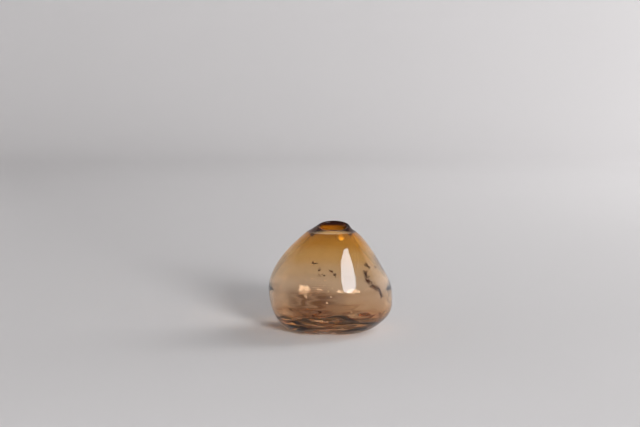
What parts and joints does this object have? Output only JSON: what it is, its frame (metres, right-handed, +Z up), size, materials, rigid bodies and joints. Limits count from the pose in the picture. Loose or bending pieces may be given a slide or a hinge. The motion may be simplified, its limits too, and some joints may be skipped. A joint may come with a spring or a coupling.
{
  "type": "bud vase",
  "caption": "Small hand-blown glass bud vase: squat rounded body, thick wavy floor, narrow mouth with a heavy lip, recessed base and dark flecks in the wall.",
  "frame": {"origin": "on the table, under the middle of the belly", "axes": "+Z up, out of the mouth; -Y towards the dented front; the mouth leans a little towards +X"},
  "size_m": [0.0895, 0.0849, 0.078],
  "materials": {
    "amber_glass": "clear blown glass, amber at the top fading to smoky rose-beige below",
    "lip_glass": "clear fire-polished glass, dark plum-brown",
    "pontil_glass": "rough broken glass",
    "ash": "dull dark ash or oxide speck melted into the glass"
  },
  "bodies": {
    "root": {"blown_body": "amber_glass", "lip_wrap": "lip_glass", "pontil_button": "pontil_glass", "fleck_front_1": "ash", "fleck_front_2": "ash", "fleck_front_3": "ash", "fleck_front_4": "ash", "fleck_front_5": "ash", "fleck_front_6": "ash", "fleck_side_1": "ash", "fleck_side_2": "ash", "fleck_side_3": "ash", "fleck_side_4": "ash", "fleck_side_5": "ash", "fleck_side_6": "ash", "fleck_side_7": "ash"}
  },
  "joints": []
}
